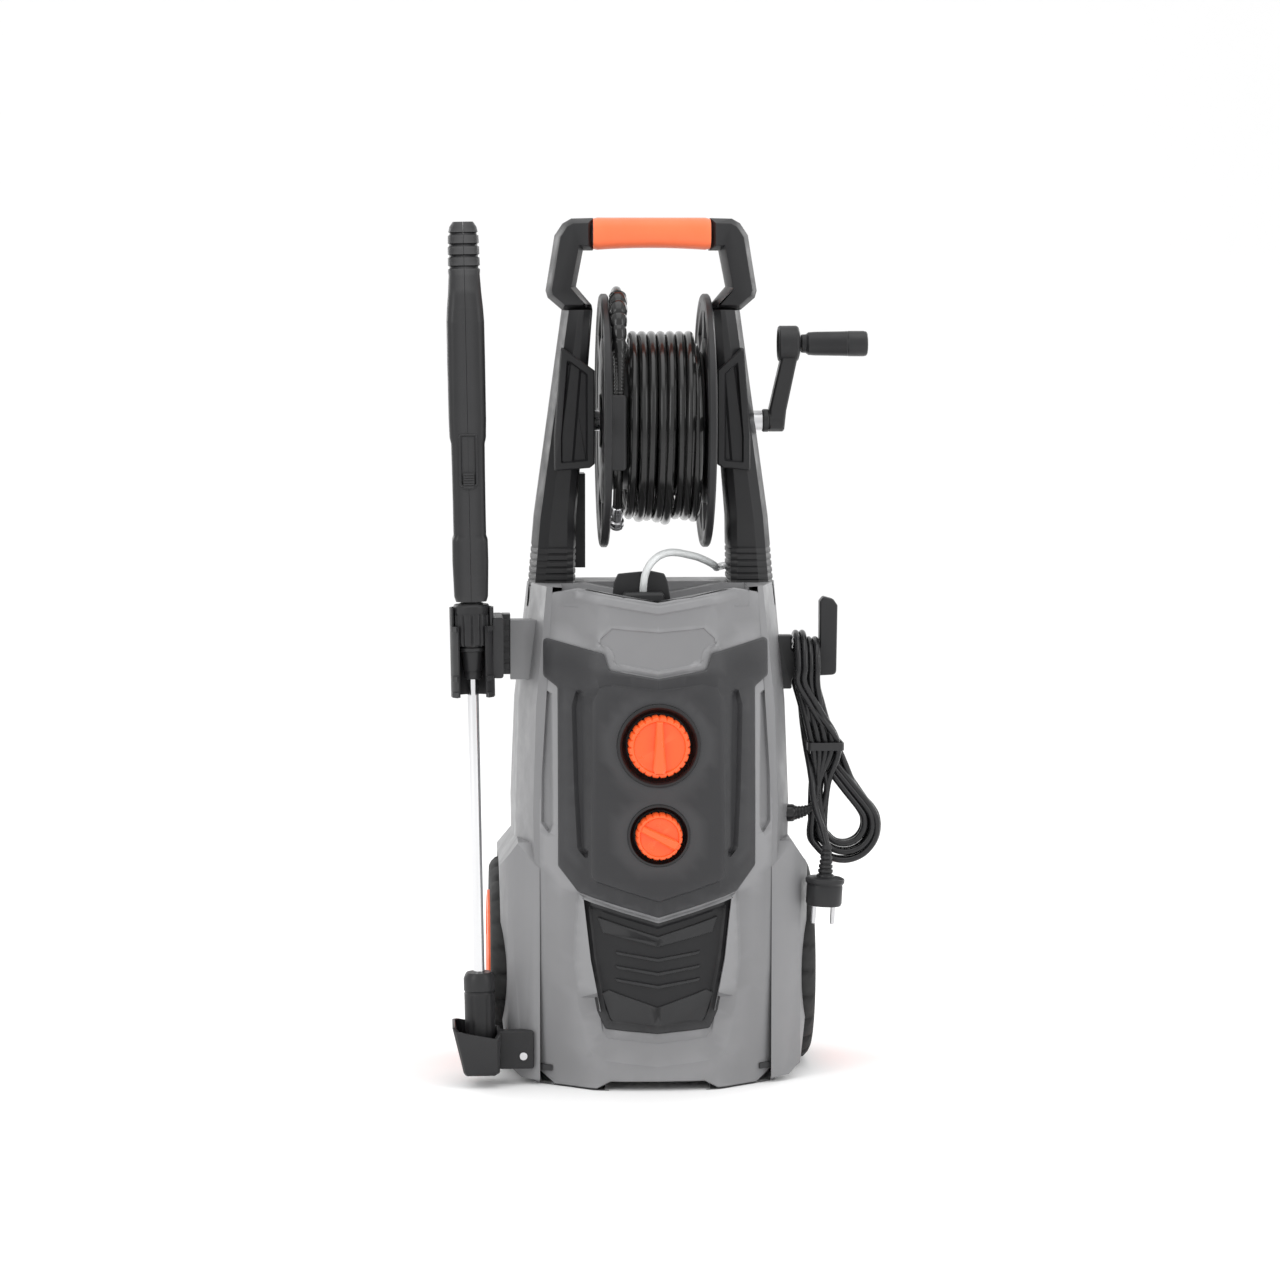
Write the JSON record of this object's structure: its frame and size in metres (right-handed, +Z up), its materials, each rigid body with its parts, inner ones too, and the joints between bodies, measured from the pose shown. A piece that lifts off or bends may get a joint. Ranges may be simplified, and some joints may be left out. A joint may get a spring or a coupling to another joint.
{
  "type": "pressure washer",
  "caption": "Upright electric pressure washer with cranked hose reel, stored trigger gun and lance, control dials, carry handle, rear wheels and hung mains lead.",
  "frame": {"origin": "middle of the footprint, on the floor, under the centre of the object's box", "axes": "+X to the crank's side (the right as seen from the front), +Y to the back, +Z up"},
  "size_m": [0.4311, 0.309, 0.858],
  "materials": {
    "housing_grey": "moulded grey plastic, fine satin grain",
    "panel_charcoal": "dark grey moulded plastic, satin",
    "frame_black": "black moulded plastic, satin grain",
    "gun_black": "dark moulded plastic with parting lines",
    "knob_orange": "orange moulded plastic, semi-gloss",
    "grip_orange": "orange soft-touch rubber",
    "rim_orange": "orange moulded plastic",
    "tyre_black": "black foam-rubber tyre",
    "hose_black": "glossy black hose jacket",
    "lead_black": "glossy black cable jacket",
    "lance_chrome": "polished steel tube",
    "steel": "bright machined steel",
    "brass": "turned brass",
    "cast_aluminium": "cast aluminium, as cast",
    "copper_windings": "lacquered laminations and windings",
    "tank_white": "natural polyethylene",
    "tube_clear": "clear soft PVC"
  },
  "bodies": {
    "root": {"front_shell": "housing_grey", "rear_shell": "housing_grey", "base_chassis": "frame_black", "control_panel": "panel_charcoal", "grille_cover": "frame_black", "power_bezel": "frame_black", "pressure_bezel": "frame_black", "column_left": "frame_black", "column_right": "frame_black", "handle_yoke": "frame_black", "handle_grip": "grip_orange", "bearing_cover_left": "frame_black", "bearing_cover_right": "frame_black", "nozzle_holder": "frame_black", "lance_clip": "frame_black", "lance_cup": "frame_black", "cable_hook": "frame_black", "cable_gland": "lead_black", "mains_lead": "lead_black", "lead_hank": "lead_black", "plug_body": "lead_black", "plug_pins": "steel", "wheel_axle": "steel", "detergent_tank": "tank_white", "filler_cap": "frame_black", "suction_tube": "tube_clear", "motor_stator": "cast_aluminium", "motor_bearings": "steel", "pump_housing": "cast_aluminium", "pump_pistons": "steel", "pump_head": "brass", "water_inlet": "brass", "riser_pipe": "steel", "power_switch": "frame_black", "case_screws": "steel"},
    "reel": {"reel_flange_left": "frame_black", "reel_flange_right": "frame_black", "reel_drum": "frame_black", "reel_shaft": "steel", "hose_inlet_block": "frame_black", "crank_arm": "frame_black", "hose_winding": "hose_black", "hose_sleeve": "hose_black", "hose_connector": "brass"},
    "crank_handle": {"crank_grip": "frame_black"},
    "power_dial": {"power_knob": "knob_orange"},
    "pressure_dial": {"pressure_knob": "knob_orange"},
    "wheel_left": {"tyre_left": "tyre_black", "rim_left": "rim_orange"},
    "wheel_right": {"tyre_right": "tyre_black", "rim_right": "rim_orange"},
    "motor_spindle": {"motor_rotor": "copper_windings"},
    "gun": {"gun_half_left": "gun_black", "gun_half_right": "gun_black", "lance_adapter": "gun_black", "lance_tube": "lance_chrome"},
    "trigger": {"gun_trigger": "gun_black"},
    "trigger_lock": {"lock_slide": "gun_black"},
    "lance_nut": {"collar_nut": "gun_black"},
    "nozzle": {"spray_nozzle": "frame_black"}
  },
  "joints": [
    {"name": "reel_spin", "type": "hinge", "parent": "root", "child": "reel", "pos_m": [-0.008, 0.015, 0.655], "axis": [1, 0, 0], "continuous": true},
    {"name": "crank_grip_spin", "type": "hinge", "parent": "reel", "child": "crank_handle", "pos_m": [0.182, 0.015, 0.732], "axis": [1, 0, 0], "continuous": true},
    {"name": "power_turn", "type": "hinge", "parent": "root", "child": "power_dial", "pos_m": [-0.008, -0.14, 0.343], "axis": [0, -1, 0], "range_deg": [0, 90]},
    {"name": "pressure_turn", "type": "hinge", "parent": "root", "child": "pressure_dial", "pos_m": [-0.008, -0.14, 0.255], "axis": [0, -1, 0], "range_deg": [-60, 210]},
    {"name": "wheel_left_spin", "type": "hinge", "parent": "root", "child": "wheel_left", "pos_m": [-0.154, 0.052, 0.105], "axis": [1, 0, 0], "continuous": true},
    {"name": "wheel_right_spin", "type": "hinge", "parent": "root", "child": "wheel_right", "pos_m": [0.138, 0.052, 0.105], "axis": [1, 0, 0], "continuous": true},
    {"name": "motor_spin", "type": "hinge", "parent": "root", "child": "motor_spindle", "pos_m": [-0.008, -0.018, 0.1], "axis": [0, 0, 1], "continuous": true},
    {"name": "gun_lift", "type": "slide", "parent": "root", "child": "gun", "axis": [-0.0175, 0, 0.9998], "range_m": [0, 0.1]},
    {"name": "trigger_pull", "type": "hinge", "parent": "gun", "child": "trigger", "pos_m": [-0.19414, -0.064, 0.74389], "axis": [0.9998, 0, 0.0175], "range_deg": [0, 10], "stiffness_Nm_per_rad": 0.6, "springref_deg": -5.73},
    {"name": "trigger_lock_slide", "type": "slide", "parent": "gun", "child": "trigger_lock", "axis": [-0.0175, 0, 0.9998], "range_m": [-0.006, 0.006]},
    {"name": "lance_nut_turn", "type": "hinge", "parent": "gun", "child": "lance_nut", "pos_m": [-0.18913, -0.072, 0.45693], "axis": [-0.0175, 0, 0.9998], "range_deg": [0, 90]},
    {"name": "nozzle_turn", "type": "hinge", "parent": "gun", "child": "nozzle", "pos_m": [-0.18255, -0.072, 0.07999], "axis": [-0.0175, 0, 0.9998], "range_deg": [-90, 90]}
  ]
}
